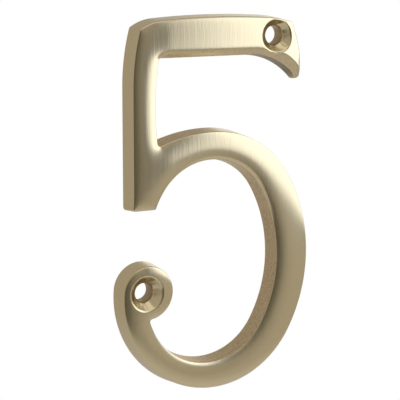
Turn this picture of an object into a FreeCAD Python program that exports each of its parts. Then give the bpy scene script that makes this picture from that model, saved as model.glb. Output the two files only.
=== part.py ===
"""Brass door number five: one solid casting, fixed to a door by two countersunk screws.

Lengths are in millimetres and angles in degrees. The outline is that of the face, which the mould's draft
widens towards the flat back. It is laid out with x to the right from the upright axis of the bowl and z up
from the lowest point of the bowl. The body is then placed so that the part's origin lies on the back,
midway between the two screw holes, with the face towards -y.
"""
import FreeCAD, Part
import math
import os
import Sketcher

from FreeCAD import Vector

SIZES = {
    # Bowl: its outer oval, the strokes that leave the counter inside it, and the lean of that counter
    "bowl_height": "52.4",
    "bowl_reach": "21.7",
    "oval_turn": "60",
    "arm_depth": "5.4",
    "side_width": "6.95",
    "base_depth": "5.2",
    "counter_top_shift": "0.4",
    "counter_base_shift": "1.1",
    "arm_radius": "33.5",
    # Ball that ends the tail, and the opening between it and the foot of the stem
    "ball_radius": "5.3",
    "mouth": "11.4",
    # Stem: drops are measured down from the bowl's top, the flag's underside and the flag's top
    "stem_offset": "17.75",
    "stem_width": "4.65",
    "foot_drop": "14.6",
    "waist_drop": "9.85",
    "waist_radius": "56.5",
    "flare_drop": "13.45",
    "flare_radius": "43.5",
    # Flag: runs are measured inwards from the stem's left side and from the flag's end
    "flag_gap": "15.2",
    "flag_depth": "7.5",
    "flag_reach": "20.6",
    "top_middle": "0.95",
    "top_radius": "166.5",
    "shoulder_run": "5.85",
    "shoulder_radius": "8.95",
    "slope_run": "8.35",
    "slope_radius": "24.5",
    "end_drop": "15.1",
    "end_radius": "38",
    "hook_run": "12.1",
    "hook_radius": "15.4",
    "tip_radius": "0.3",
    # Section through a stroke: drafted walls, then a crown that rises from the edge and levels out.
    # Corners are rounded by their smaller radius: outer ones at the face, inner ones at the back
    "wall_depth": "4.5",
    "draft_angle": "4.8",
    "crown_tilt": "16",
    "crown_width": "3.2",
    "corner_radius": "0.4",
    "inner_radius": "0.2",
    # Where the polished face rolls down towards its two free ends: how much, and over what run
    "tip_roll": "2.2",
    "tip_run": "4.5",
    "foot_roll": "0.7",
    "foot_run": "4",
    # Screw holes: the flag's hole is measured from the flag's end and top, the ball's from its centre
    "bore_diameter": "3.8",
    "sink_diameter": "7.6",
    "sink_angle": "90",
    "flag_hole_inset": "6.35",
    "flag_hole_drop": "3.95",
    "ball_hole_shift": "0.5",
}

# Spacing of the crown's control points, and the closeness at which one counts as on the outline
CROWN_PITCH = 1.2
TOUCH = 1e-6

doc = FreeCAD.newDocument("door_number")
sheet = doc.addObject("Spreadsheet::Sheet", "Sizes")
for row, (alias, text) in enumerate(SIZES.items(), start=1):
    sheet.set(f"A{row}", alias)
    sheet.set(f"B{row}", text)
    sheet.setAlias(f"B{row}", alias)
doc.recompute()


def size(alias):
    """One driving dimension, read back from the sheet."""
    return float(sheet.get(alias))


# Helpers for the outline


def point(x, z):
    """A point of a sketch, whose own axes are x to the right and y up."""
    return Vector(x, z, 0)


def quarter_oval(reach, rise, turn):
    """Radii of the two tangent arcs of a quarter oval: the end arc, then the side arc.

    The end arc turns by the given angle from the top, and the side arc by the rest of the right angle.
    """
    sine = math.sin(math.radians(turn))
    cosine = math.cos(math.radians(turn))
    share = sine + cosine - 1
    end_radius = (reach * cosine - rise * (1 - sine)) / share
    side_radius = (rise * sine - reach * (1 - cosine)) / share
    return end_radius, side_radius


def meet(center, radius, other_center, other_radius, side):
    """One of the two points where two circles cross: side +1 is left of the line between the centres."""
    line = other_center - center
    distance = line.Length
    along = (radius**2 - other_radius**2 + distance**2) / (2 * distance)
    across = math.sqrt(radius**2 - along**2)
    direction = line.normalize()
    return center + direction * along + Vector(-direction.y, direction.x, 0) * (side * across)


def left_of(center, radius, level):
    """The left one of the two points of a circle at the given height."""
    return point(center.x - math.sqrt(radius**2 - (level - center.y)**2), level)


def on_circle(center, radius, direction):
    """The point of a circle that lies in the given direction from its centre."""
    return center + Vector(direction).normalize() * radius


# How much the outline grows from the face's blank plane to the back, and the radii of its corners
rise = math.tan(math.radians(size("crown_tilt"))) * size("crown_width") / 2
blank_depth = size("wall_depth") + 2 * rise
corner_radius = size("corner_radius")
inner_radius = size("inner_radius") + blank_depth * math.tan(math.radians(size("draft_angle")))

# Points of the outline, worked out from the driving dimensions

bowl_height = size("bowl_height")
bowl_middle = bowl_height / 2
bowl_reach = size("bowl_reach")
counter_top = bowl_height - size("arm_depth")
counter_base = size("base_depth")
counter_middle = (counter_top + counter_base) / 2
counter_reach = bowl_reach - size("side_width")
counter_rise = (counter_top - counter_base) / 2
counter_top_x = -size("counter_top_shift")
counter_base_x = -size("counter_base_shift")
foot_level = bowl_height - size("foot_drop")
ball_level = foot_level - size("mouth") - size("ball_radius")
underside = bowl_height + size("flag_gap")
top_level = underside + size("flag_depth")
stem_left = -size("stem_offset")
flag_reach = size("flag_reach")
turn = size("oval_turn")

# Outer oval of the bowl: end arcs on the axis above and below, and one side arc between them
outer_radius, outer_side_radius = quarter_oval(bowl_reach, bowl_middle, turn)
outer_top_center = point(0, bowl_height - outer_radius)
outer_base_center = point(0, outer_radius)
outer_side_center = point(bowl_reach - outer_side_radius, bowl_middle)

# Inner oval, the counter, which leans: its top and its base lie a little left of the bowl's axis
counter_top_radius, upper_side_radius = quarter_oval(counter_reach - counter_top_x, counter_rise, turn)
counter_base_radius, lower_side_radius = quarter_oval(counter_reach - counter_base_x, counter_rise, turn)
counter_top_center = point(counter_top_x, counter_top - counter_top_radius)
counter_base_center = point(counter_base_x, counter_base + counter_base_radius)
upper_side_center = point(counter_reach - upper_side_radius, counter_middle)
lower_side_center = point(counter_reach - lower_side_radius, counter_middle)

# Ball, touching the outer oval from inside
ball_radius = size("ball_radius")
ball_orbit = outer_radius - ball_radius
ball_center = point(-math.sqrt(ball_orbit**2 - (ball_level - outer_radius)**2), ball_level)
notch_center = meet(ball_center, ball_radius + inner_radius,
                    counter_base_center, counter_base_radius - inner_radius, -1)

# Flag, from the shoulder over the stem to the hooked end
top_radius = size("top_radius")
top_center = point(size("top_middle"), top_level - top_radius)
end_radius = size("end_radius")
end_center = point(flag_reach - end_radius, top_level - size("end_drop"))
hook_radius = size("hook_radius")
hook_center = point(flag_reach - size("hook_run"), underside - hook_radius)
flare_radius = size("flare_radius")
flare_center = point(stem_left + flare_radius, top_level - size("flare_drop"))
shoulder_radius = size("shoulder_radius")
slope_radius = size("slope_radius")


def top_joint(x):
    """The point of the top arc at the given x."""
    return point(x, top_center.y + math.sqrt(top_radius**2 - (x - top_center.x)**2))


shoulder_joint = top_joint(stem_left + size("shoulder_run"))
shoulder_center = on_circle(shoulder_joint, shoulder_radius, top_center - shoulder_joint)
slope_joint = top_joint(flag_reach - size("slope_run"))
slope_center = on_circle(slope_joint, slope_radius, top_center - slope_joint)
shoulder_corner = meet(flare_center, flare_radius - corner_radius,
                       shoulder_center, shoulder_radius - corner_radius, -1)
slope_corner = meet(slope_center, slope_radius - corner_radius, end_center, end_radius - corner_radius, -1)
tip_radius = size("tip_radius")
tip_center = meet(end_center, end_radius - tip_radius, hook_center, hook_radius + tip_radius, 1)

# Stem and arm
waist_radius = size("waist_radius")
waist_center = point(stem_left + size("stem_width") + waist_radius, underside - size("waist_drop"))
waist_corner = left_of(waist_center, waist_radius - inner_radius, underside - inner_radius)
arm_radius = size("arm_radius")
arm_center = point(0, bowl_height - arm_radius)
arm_corner = meet(waist_center, waist_radius - inner_radius, arm_center, arm_radius + inner_radius, -1)
foot_left = point(stem_left + corner_radius, foot_level + corner_radius)
foot_right = left_of(counter_top_center, counter_top_radius + corner_radius, foot_level + corner_radius)

# The body and its outline sketch, in front of the crown by as much as the crown rises

BLANK_DEPTH = "Sizes.wall_depth + tan(Sizes.crown_tilt) * Sizes.crown_width"

body = doc.addObject("PartDesign::Body", "blank")
planes = {feature.Role: feature for feature in body.Origin.OriginFeatures}
outline = body.newObject("Sketcher::SketchObject", "outline")
outline.AttachmentSupport = [(planes["XZ_Plane"], "")]
outline.MapMode = "FlatFace"
outline.setExpression("AttachmentOffset.Base.z", BLANK_DEPTH)

# The sketch's own numbers: its root and upright axis, and the points of a stretch
ROOT, UPRIGHT_AXIS = range(-1, -3, -1)
START, END, CENTER = range(1, 4)
ORIGIN = (ROOT, START)

# Stretches of the outline, clockwise round the numeral from the left side of the stem. Each runs on smoothly
# into the next. An arc has a centre, a radius and whether it runs clockwise.
# A line has a point and a direction
UP = Vector(0, 1, 0)
LEFT = Vector(-1, 0, 0)
stretches = {
    "left": (foot_left + LEFT * corner_radius, UP),
    "flare": (flare_center, flare_radius, True),
    "shoulder_corner": (shoulder_corner, corner_radius, True),
    "shoulder": (shoulder_center, shoulder_radius, True),
    "top": (top_center, top_radius, True),
    "slope": (slope_center, slope_radius, True),
    "slope_corner": (slope_corner, corner_radius, True),
    "flag_end": (end_center, end_radius, True),
    "tip": (tip_center, tip_radius, True),
    "hook": (hook_center, hook_radius, False),
    "underside": (waist_corner + UP * inner_radius, LEFT),
    "waist_corner": (waist_corner, inner_radius, False),
    "waist": (waist_center, waist_radius, False),
    "arm_corner": (arm_corner, inner_radius, False),
    "arm": (arm_center, arm_radius, True),
    "outer_top": (outer_top_center, outer_radius, True),
    "outer_side": (outer_side_center, outer_side_radius, True),
    "outer_base": (outer_base_center, outer_radius, True),
    "ball": (ball_center, ball_radius, True),
    "notch": (notch_center, inner_radius, False),
    "counter_base": (counter_base_center, counter_base_radius, False),
    "lower_side": (lower_side_center, lower_side_radius, False),
    "upper_side": (upper_side_center, upper_side_radius, False),
    "counter_top": (counter_top_center, counter_top_radius, False),
    "foot_right": (foot_right, corner_radius, True),
    "foot": (foot_left - UP * corner_radius, LEFT),
    "foot_left": (foot_left, corner_radius, True),
}


def nearest_on_line(stretch, spot):
    """The point of a line that lies nearest to a given point."""
    start, direction = stretch
    return start + direction * (spot - start).dot(direction)


def joint(first, second):
    """The point where one stretch runs smoothly into the next."""
    if len(first) == 2:
        return nearest_on_line(first, second[0])
    if len(second) == 2:
        return nearest_on_line(second, first[0])
    center, radius, clockwise = first
    other_center, other_radius, other_clockwise = second
    if clockwise == other_clockwise and radius < other_radius:
        return on_circle(center, radius, center - other_center)
    return on_circle(center, radius, other_center - center)


def draw(stretch, start, end):
    """Adds a stretch to the sketch; returns its number and the sketch's names for its first and last point.

    The sketch keeps arcs anticlockwise, so a clockwise one has its ends swapped.
    """
    if len(stretch) == 2:
        return outline.addGeometry(Part.LineSegment(start, end)), START, END
    center, radius, clockwise = stretch
    angles = [math.atan2(spot.y - center.y, spot.x - center.x) for spot in (start, end)]
    if clockwise:
        angles.reverse()
    if angles[1] < angles[0]:
        angles[1] += 2 * math.pi
    geometry = outline.addGeometry(Part.ArcOfCircle(Part.Circle(center, Vector(0, 0, 1), radius), *angles))
    return (geometry, END, START) if clockwise else (geometry, START, END)


names = list(stretches)
next_name = dict(zip(names, names[1:] + names[:1]))
ends = {name: joint(stretches[name], stretches[next_name[name]]) for name in names}
starts = {next_name[name]: spot for name, spot in ends.items()}
drawn = {name: draw(stretches[name], starts[name], ends[name]) for name in names}
number = {name: stretch[0] for name, stretch in drawn.items()}
for name in names:
    geometry, _, last = drawn[name]
    next_geometry, first, _ = drawn[next_name[name]]
    outline.addConstraint(Sketcher.Constraint("Tangent", geometry, last, next_geometry, first))
outline.addConstraint(Sketcher.Constraint("Vertical", number["left"]))
outline.addConstraint(Sketcher.Constraint("Horizontal", number["underside"]))
outline.addConstraint(Sketcher.Constraint("Horizontal", number["foot"]))
for name in ("arm", "outer_top", "outer_base"):
    outline.addConstraint(Sketcher.Constraint("PointOnObject", number[name], CENTER, UPRIGHT_AXIS))


def drive(name, constraint, expression):
    """Adds a named constraint whose value follows the sheet."""
    index = outline.addConstraint(constraint)
    outline.renameConstraint(index, name)
    outline.setExpression("Constraints." + name, expression)


def drive_radius(name, expression):
    """Ties the radius of an arc."""
    value = outline.Geometry[number[name]].Radius
    drive(name + "_radius", Sketcher.Constraint("Radius", number[name], value), expression)


def drive_x(name, end, expression):
    """Ties how far right of the bowl's axis a point lies."""
    value = outline.getPoint(number[name], end).x
    drive(name + "_x", Sketcher.Constraint("DistanceX", *ORIGIN, number[name], end, value), expression)


def drive_z(name, end, expression):
    """Ties the height of a point above the bowl's lowest point."""
    value = outline.getPoint(number[name], end).y
    drive(name + "_z", Sketcher.Constraint("DistanceY", *ORIGIN, number[name], end, value), expression)


def oval_end(reach, rise):
    """The end arc's radius of a quarter oval, as a formula of the sheet's cells."""
    share = "(sin(Sizes.oval_turn) + cos(Sizes.oval_turn) - 1)"
    return f"(({reach}) * cos(Sizes.oval_turn) - ({rise}) * (1 - sin(Sizes.oval_turn))) / {share}"


def oval_side(reach, rise):
    """The side arc's radius of a quarter oval, as a formula of the sheet's cells."""
    share = "(sin(Sizes.oval_turn) + cos(Sizes.oval_turn) - 1)"
    return f"(({rise}) * sin(Sizes.oval_turn) - ({reach}) * (1 - cos(Sizes.oval_turn))) / {share}"


BOWL_MIDDLE = "Sizes.bowl_height / 2"
COUNTER_TOP = "Sizes.bowl_height - Sizes.arm_depth"
COUNTER_RISE = "(Sizes.bowl_height - Sizes.arm_depth - Sizes.base_depth) / 2"
COUNTER_MIDDLE = "(Sizes.bowl_height - Sizes.arm_depth + Sizes.base_depth) / 2"
COUNTER_TOP_REACH = "Sizes.bowl_reach - Sizes.side_width + Sizes.counter_top_shift"
COUNTER_BASE_REACH = "Sizes.bowl_reach - Sizes.side_width + Sizes.counter_base_shift"
FOOT_LEVEL = "Sizes.bowl_height - Sizes.foot_drop"
BALL_LEVEL = FOOT_LEVEL + " - Sizes.mouth - Sizes.ball_radius"
UNDERSIDE = "Sizes.bowl_height + Sizes.flag_gap"
TOP_LEVEL = UNDERSIDE + " + Sizes.flag_depth"
OUTER_RADIUS = oval_end("Sizes.bowl_reach", BOWL_MIDDLE)
COUNTER_TOP_RADIUS = oval_end(COUNTER_TOP_REACH, COUNTER_RISE)
COUNTER_BASE_RADIUS = oval_end(COUNTER_BASE_REACH, COUNTER_RISE)

INNER_RADIUS = f"Sizes.inner_radius + ({BLANK_DEPTH}) * tan(Sizes.draft_angle)"

for name in ("flare", "shoulder", "top", "slope", "tip", "hook", "waist", "arm", "ball"):
    drive_radius(name, "Sizes." + name + "_radius")
for name in ("shoulder_corner", "slope_corner", "foot_right", "foot_left"):
    drive_radius(name, "Sizes.corner_radius")
for name in ("waist_corner", "arm_corner", "notch"):
    drive_radius(name, INNER_RADIUS)
drive_radius("flag_end", "Sizes.end_radius")
drive_radius("outer_top", OUTER_RADIUS)
drive_radius("outer_base", OUTER_RADIUS)
drive_radius("outer_side", oval_side("Sizes.bowl_reach", BOWL_MIDDLE))
drive_radius("counter_top", COUNTER_TOP_RADIUS)
drive_radius("counter_base", COUNTER_BASE_RADIUS)
drive_radius("upper_side", oval_side(COUNTER_TOP_REACH, COUNTER_RISE))
drive_radius("lower_side", oval_side(COUNTER_BASE_REACH, COUNTER_RISE))
drive_x("left", START, "-Sizes.stem_offset")
drive_z("flare", CENTER, TOP_LEVEL + " - Sizes.flare_drop")
drive_z("foot", START, FOOT_LEVEL)
drive_x("top", CENTER, "Sizes.top_middle")
drive_z("top", CENTER, TOP_LEVEL + " - Sizes.top_radius")
drive_x("shoulder", START, "Sizes.shoulder_run - Sizes.stem_offset")
drive_x("slope", END, "Sizes.flag_reach - Sizes.slope_run")
drive_x("flag_end", CENTER, "Sizes.flag_reach - Sizes.end_radius")
drive_z("flag_end", CENTER, TOP_LEVEL + " - Sizes.end_drop")
drive_z("underside", START, UNDERSIDE)
drive_x("hook", CENTER, "Sizes.flag_reach - Sizes.hook_run")
drive_x("waist", CENTER, "Sizes.stem_width - Sizes.stem_offset + Sizes.waist_radius")
drive_z("waist", CENTER, UNDERSIDE + " - Sizes.waist_drop")
drive_z("outer_top", CENTER, f"Sizes.bowl_height - {OUTER_RADIUS}")
drive_z("outer_base", CENTER, OUTER_RADIUS)
drive_z("ball", CENTER, BALL_LEVEL)
drive_x("counter_top", CENTER, "-Sizes.counter_top_shift")
drive_z("counter_top", CENTER, f"{COUNTER_TOP} - {COUNTER_TOP_RADIUS}")
drive_x("counter_base", CENTER, "-Sizes.counter_base_shift")
drive_z("counter_base", CENTER, f"Sizes.base_depth + {COUNTER_BASE_RADIUS}")
drive_z("upper_side", START, COUNTER_MIDDLE)
ball_x = Sketcher.Constraint("DistanceX", *ORIGIN, number["ball"], CENTER, ball_center.x)
ball_index = outline.addConstraint(ball_x)
outline.setDriving(ball_index, False)
outline.renameConstraint(ball_index, "ball_x")

# The blank: padded back to the door, growing outwards by the draft of the mould
pad = body.newObject("PartDesign::Pad", "pad")
pad.Profile = outline
pad.Reversed = True
pad.setExpression("Length", BLANK_DEPTH)
pad.setExpression("TaperAngle", "Sizes.draft_angle")
doc.recompute()

# Screw holes, sunk from the front
spots = body.newObject("Sketcher::SketchObject", "hole_spots")
spots.AttachmentSupport = [(planes["XZ_Plane"], "")]
spots.MapMode = "FlatFace"
spots.setExpression("AttachmentOffset.Base.z", BLANK_DEPTH)
hole_places = {
    "flag_hole": ("Sizes.flag_reach - Sizes.flag_hole_inset", TOP_LEVEL + " - Sizes.flag_hole_drop"),
    "ball_hole": ("outline.Constraints.ball_x - Sizes.ball_hole_shift * 1 mm", BALL_LEVEL),
}
hole_points = {
    "flag_hole": point(flag_reach - size("flag_hole_inset"), top_level - size("flag_hole_drop")),
    "ball_hole": point(ball_center.x - size("ball_hole_shift"), ball_level),
}
for name, (x_rule, z_rule) in hole_places.items():
    spot = hole_points[name]
    circle = spots.addGeometry(Part.Circle(spot, Vector(0, 0, 1), size("bore_diameter") / 2))
    for axis, value, rule in (("X", spot.x, x_rule), ("Y", spot.y, z_rule)):
        index = spots.addConstraint(Sketcher.Constraint("Distance" + axis, *ORIGIN, circle, CENTER, value))
        spots.renameConstraint(index, name + "_" + axis.lower())
        spots.setExpression("Constraints." + name + "_" + axis.lower(), rule)
    index = spots.addConstraint(Sketcher.Constraint("Diameter", circle, size("bore_diameter")))
    spots.renameConstraint(index, name + "_bore")
    spots.setExpression("Constraints." + name + "_bore", "Sizes.bore_diameter")
doc.recompute()
hole = body.newObject("PartDesign::Hole", "screw_holes")
hole.Profile = spots
hole.DepthType = "ThroughAll"
hole.HoleCutType = "Countersink"
hole.HoleCutCustomValues = True
hole.setExpression("Diameter", "Sizes.bore_diameter")
SINK_EXTRA = "tan(Sizes.crown_tilt) * Sizes.crown_width * tan(Sizes.sink_angle / 2)"
hole.setExpression("HoleCutDiameter", "Sizes.sink_diameter + " + SINK_EXTRA)
hole.setExpression("HoleCutCountersinkAngle", "Sizes.sink_angle")
doc.recompute()

# Crown: the face rises from every edge at the crown's tilt and levels out over the crown's width

edge_inset = 2 * rise * math.tan(math.radians(size("draft_angle")))


def crown_height(distance):
    """Height of the face above the back, at a distance inwards from the edge of the face."""
    part_way = min(distance / size("crown_width"), 1)
    if part_way < 0:
        return size("wall_depth") + 2 * rise * part_way
    return size("wall_depth") + rise * part_way * (2 - part_way)


def end_roll(x, z):
    """How far the face rolls down near the flag's tip and near the foot of the stem."""
    over_tip = z - (tip_center.y - tip_radius)
    over_foot = z - foot_level
    if x > hook_center.x and z > (underside + bowl_height) / 2 and over_tip < size("tip_run"):
        return size("tip_roll") * (1 - over_tip / size("tip_run"))**2
    if x < counter_top_x and -size("mouth") / 2 < over_foot < size("foot_run"):
        return size("foot_roll") * (1 - over_foot / size("foot_run"))**2
    return 0


def even_steps(low, high, pitch):
    """Evenly spaced values from low to high, at most a pitch apart."""
    count = math.ceil((high - low) / pitch)
    return [low + (high - low) * step / count for step in range(count + 1)]


def crown_sheet(rim):
    """A smooth sheet over the whole numeral whose control points lie at the crown's height."""
    region = Part.Face(rim)
    box = rim.BoundBox
    margin = size("crown_width")
    poles = []
    for x in even_steps(box.XMin - margin, box.XMax + margin, CROWN_PITCH):
        column = []
        for z in even_steps(box.ZMin - margin, box.ZMax + margin, CROWN_PITCH):
            spot = Vector(x, box.YMin, z)
            distance = rim.distToShape(Part.Vertex(spot))[0]
            if not region.isInside(spot, TOUCH, True):
                distance = -distance
            column.append(Vector(x, end_roll(x, z) - crown_height(distance + edge_inset), z))
        poles.append(column)
    degree = 3
    knots = [len(poles) - degree, len(poles[0]) - degree]
    turns = [[degree + 1] + [1] * (count - 1) + [degree + 1] for count in knots]
    spans = [list(range(count + 1)) for count in knots]
    sheet_surface = Part.BSplineSurface()
    sheet_surface.buildFromPolesMultsKnots(poles, *turns, *spans, False, False, degree, degree)
    return sheet_surface.toShape()


crown = doc.addObject("Part::Feature", "crown")
crown.Shape = crown_sheet(outline.Shape.Wires[0]).extrude(Vector(0, -blank_depth, 0))

# The origin goes midway between the screw holes, for the body and for the crown that trims it
for axis, hole_axis in (("x", "x"), ("z", "y")):
    flag_place = "hole_spots.Constraints.flag_hole_" + hole_axis
    ball_place = "hole_spots.Constraints.ball_hole_" + hole_axis
    body.setExpression("Placement.Base." + axis, f"-({flag_place} + {ball_place}) / 2")
    crown.setExpression("Placement.Base." + axis, "blank.Placement.Base." + axis)

numeral = doc.addObject("Part::Cut", "numeral_five")
numeral.Base = body
numeral.Tool = crown
doc.recompute()

failed = [item.Name for item in doc.Objects if "Invalid" in item.State or "Error" in item.State]
if failed:
    raise RuntimeError("failed to build: " + ", ".join(failed))
if numeral.Shape.isNull() or not numeral.Shape.isValid() or len(numeral.Shape.Solids) != 1:
    raise RuntimeError("the numeral isn't one valid solid")
if hole.Shape.Volume >= pad.Shape.Volume or numeral.Shape.Volume >= hole.Shape.Volume:
    raise RuntimeError("the screw holes or the crown cut nothing")

os.makedirs("parts", exist_ok=True)
numeral.Shape.exportStep("parts/" + numeral.Label + ".step")
box = numeral.Shape.optimalBoundingBox()
print("size %.2f x %.2f x %.2f mm" % (box.XLength, box.YLength, box.ZLength))
print("volume %.1f cubic mm" % numeral.Shape.Volume)
print("screw holes", [tuple(round(value, 3) for value in body.Placement.multVec(Vector(spot.x, 0, spot.y)))
                      for spot in hole_points.values()])
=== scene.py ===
# %% [markdown]
# A brass door number, a five, is one casting. Its back is flat, its walls lean in a little so that it
# leaves the mould, and its face is crowned and rubbed to a satin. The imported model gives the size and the
# place of everything, so it is loaded first and nothing of it is moved.

# %% Load the frame
import math
import bpy
import numpy as np
from mathutils.geometry import delaunay_2d_cdt
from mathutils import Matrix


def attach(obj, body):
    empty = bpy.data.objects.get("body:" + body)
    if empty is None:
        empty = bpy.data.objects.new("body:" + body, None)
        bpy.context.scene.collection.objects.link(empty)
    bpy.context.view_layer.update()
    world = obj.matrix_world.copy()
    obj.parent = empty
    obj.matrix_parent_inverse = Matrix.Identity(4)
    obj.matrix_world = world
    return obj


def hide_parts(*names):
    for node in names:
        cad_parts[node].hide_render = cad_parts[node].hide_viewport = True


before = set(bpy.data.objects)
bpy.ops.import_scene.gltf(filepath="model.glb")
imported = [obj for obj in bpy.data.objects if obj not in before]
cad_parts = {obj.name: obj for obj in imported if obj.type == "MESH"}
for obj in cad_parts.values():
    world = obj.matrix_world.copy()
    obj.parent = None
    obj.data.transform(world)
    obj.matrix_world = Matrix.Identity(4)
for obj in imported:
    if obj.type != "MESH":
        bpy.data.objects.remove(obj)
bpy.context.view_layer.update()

MM = 0.001

# %% [markdown]
# The outline is a chain of arcs and straight lines, each running smoothly into the next. Tracing a picture
# would give hundreds of points with no meaning. Arcs give a few sizes that can be read and changed, and a
# true normal at every point, which polished metal needs. Sizes are in mm, with x to the right of the bowl's
# axis and z up from the bowl's lowest point. A few rules of plane geometry place the arcs.

# %% Rules that place arcs


def spot(x, z):
    """A point of the outline's plane."""
    return np.array([x, z])


def unit(vector):
    """The vector over its own length."""
    return vector / np.hypot(*vector)


def meet(center, radius, other_center, other_radius, side):
    """Where two circles cross: on the left of the line between their centres for side 1, right for -1.

    The crossing lies (r r - R R + D D) / 2 D along that line, and the third side of the right triangle
    off it, for radii r and R and centres D apart.
    """
    distance = np.hypot(*(other_center - center))
    along = (radius**2 - other_radius**2 + distance**2) / (2 * distance)
    across = math.sqrt(radius**2 - along**2)
    direction = unit(other_center - center)
    return center + direction * along + spot(-direction[1], direction[0]) * side * across


def left_of(center, radius, level):
    """The left point of a circle at a height: the centre less the side of a right triangle."""
    return spot(center[0] - math.sqrt(radius**2 - (level - center[1])**2), level)


crossing = meet(spot(0, 0), 3, spot(5, 0), 4, 1)
print("circles of radius 3 and 4, with centres 5 apart, cross at", crossing.round(2))

# %% [markdown]
# The bowl is one oval outside and a smaller one inside, the counter. A pattern maker draws an oval with a few
# arcs, one for each end and one for each side, because arcs can be cut and checked with a radius gauge. The
# counter sits left of the bowl's axis, so that the metal is thickest at the side.

# %% The bowl and its counter
BOWL_HEIGHT = 52.4
BOWL_REACH = 21.7
ARM_DEPTH = 5.4
SIDE_WIDTH = 6.95
BASE_DEPTH = 5.2
COUNTER_TOP_X = -0.4
COUNTER_BASE_X = -1.1
OVAL_TURN = math.radians(60)


def quarter_oval(reach, rise):
    """Radii of the end arc and the side arc that make a quarter oval, meeting smoothly at the oval's turn.

    With s and c the sine and cosine of that turn, the end radius is (reach c - rise (1 - s)) / (s + c - 1)
    and the side radius is (rise s - reach (1 - c)) / (s + c - 1).
    """
    sine, cosine = math.sin(OVAL_TURN), math.cos(OVAL_TURN)
    share = sine + cosine - 1
    return (reach * cosine - rise * (1 - sine)) / share, (rise * sine - reach * (1 - cosine)) / share


counter_top = BOWL_HEIGHT - ARM_DEPTH
counter_reach = BOWL_REACH - SIDE_WIDTH
counter_rise = (counter_top - BASE_DEPTH) / 2
counter_middle = BASE_DEPTH + counter_rise
outer_radius, side_radius = quarter_oval(BOWL_REACH, BOWL_HEIGHT / 2)
top_inner_radius, upper_side_radius = quarter_oval(counter_reach - COUNTER_TOP_X, counter_rise)
base_inner_radius, lower_side_radius = quarter_oval(counter_reach - COUNTER_BASE_X, counter_rise)
outer_base = spot(0, outer_radius)
outer_top = spot(0, BOWL_HEIGHT - outer_radius)
outer_side = spot(BOWL_REACH - side_radius, BOWL_HEIGHT / 2)
inner_top = spot(COUNTER_TOP_X, counter_top - top_inner_radius)
inner_base = spot(COUNTER_BASE_X, BASE_DEPTH + base_inner_radius)
upper_side = spot(counter_reach - upper_side_radius, counter_middle)
lower_side = spot(counter_reach - lower_side_radius, counter_middle)
print("bowl with ends of radius", round(outer_radius, 2), "and sides of", round(side_radius, 2))

# %% [markdown]
# The tail ends in a ball. It touches the bowl's outer arc from inside, so that the one runs smoothly round
# into the other, and an open mouth parts it from the stem's foot above. The two arcs touch where their
# centres lie one radius less the other apart, which gives the ball's x from its height.

# %% The ball at the end of the tail
FOOT_DROP = 14.6
MOUTH = 11.4
BALL_RADIUS = 5.3

foot_level = BOWL_HEIGHT - FOOT_DROP
ball_level = foot_level - MOUTH - BALL_RADIUS
ball = spot(-math.sqrt((outer_radius - BALL_RADIUS)**2 - (ball_level - outer_radius)**2), ball_level)
print("ball at", ball.round(2))

# %% [markdown]
# The stem is slim, with a waist on its right, and it flares at the top into the flag's shoulder. The arm that
# leaves it has a wider arc of its own above the bowl. The flag's top is one long flat arc that slopes off at
# the end, and its underside is level and then hooks down into a tip.

# %% The stem, the arm and the flag
STEM_LEFT = -17.75
STEM_WIDTH = 4.65
ARM_RADIUS = 33.5
WAIST_DROP = 9.85
WAIST_RADIUS = 56.5
FLAG_GAP = 15.2
FLAG_DEPTH = 7.5
FLARE_DROP = 13.45
FLARE_RADIUS = 43.5
FLAG_REACH = 20.6
TOP_MIDDLE = 0.95
TOP_RADIUS = 166.5
SHOULDER_RUN = 5.85
SHOULDER_RADIUS = 8.95
SLOPE_RUN = 8.35
SLOPE_RADIUS = 24.5
END_DROP = 15.1
END_RADIUS = 38.0
HOOK_RUN = 12.1
HOOK_RADIUS = 15.4


def on_top(x):
    """The point of the flag's long top arc at x: the centre's height plus the side of a right triangle."""
    return spot(x, top_level - TOP_RADIUS + math.sqrt(TOP_RADIUS**2 - (x - TOP_MIDDLE)**2))


underside = BOWL_HEIGHT + FLAG_GAP
top_level = underside + FLAG_DEPTH
stem_right = STEM_LEFT + STEM_WIDTH
arm = spot(0, BOWL_HEIGHT - ARM_RADIUS)
waist = spot(stem_right + WAIST_RADIUS, underside - WAIST_DROP)
flare = spot(STEM_LEFT + FLARE_RADIUS, top_level - FLARE_DROP)
top = spot(TOP_MIDDLE, top_level - TOP_RADIUS)
shoulder_joint = on_top(STEM_LEFT + SHOULDER_RUN)
shoulder = shoulder_joint + unit(top - shoulder_joint) * SHOULDER_RADIUS
slope_joint = on_top(FLAG_REACH - SLOPE_RUN)
slope = slope_joint + unit(top - slope_joint) * SLOPE_RADIUS
flag_end = spot(FLAG_REACH - END_RADIUS, top_level - END_DROP)
hook = spot(FLAG_REACH - HOOK_RUN, underside - HOOK_RADIUS)
print("flag from", round(underside, 2), "to", round(top_level, 2), "mm above the bowl's lowest point")

# %% [markdown]
# A casting has no sharp corner: sand can't hold one, and the pattern is drafted. An outer corner gets a small
# arc. An inner corner gets one that is still open at the foot of the leaning wall, so its radius at the front
# is what the draft takes away there and a little more.

# %% Rounded corners
BLANK_DEPTH = 5.42
DRAFT = math.tan(math.radians(4.8))
CORNER_RADIUS = 0.4
TIP_RADIUS = 0.3
ROOT_RADIUS = 0.2
INNER_RADIUS = ROOT_RADIUS + BLANK_DEPTH * DRAFT

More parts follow.
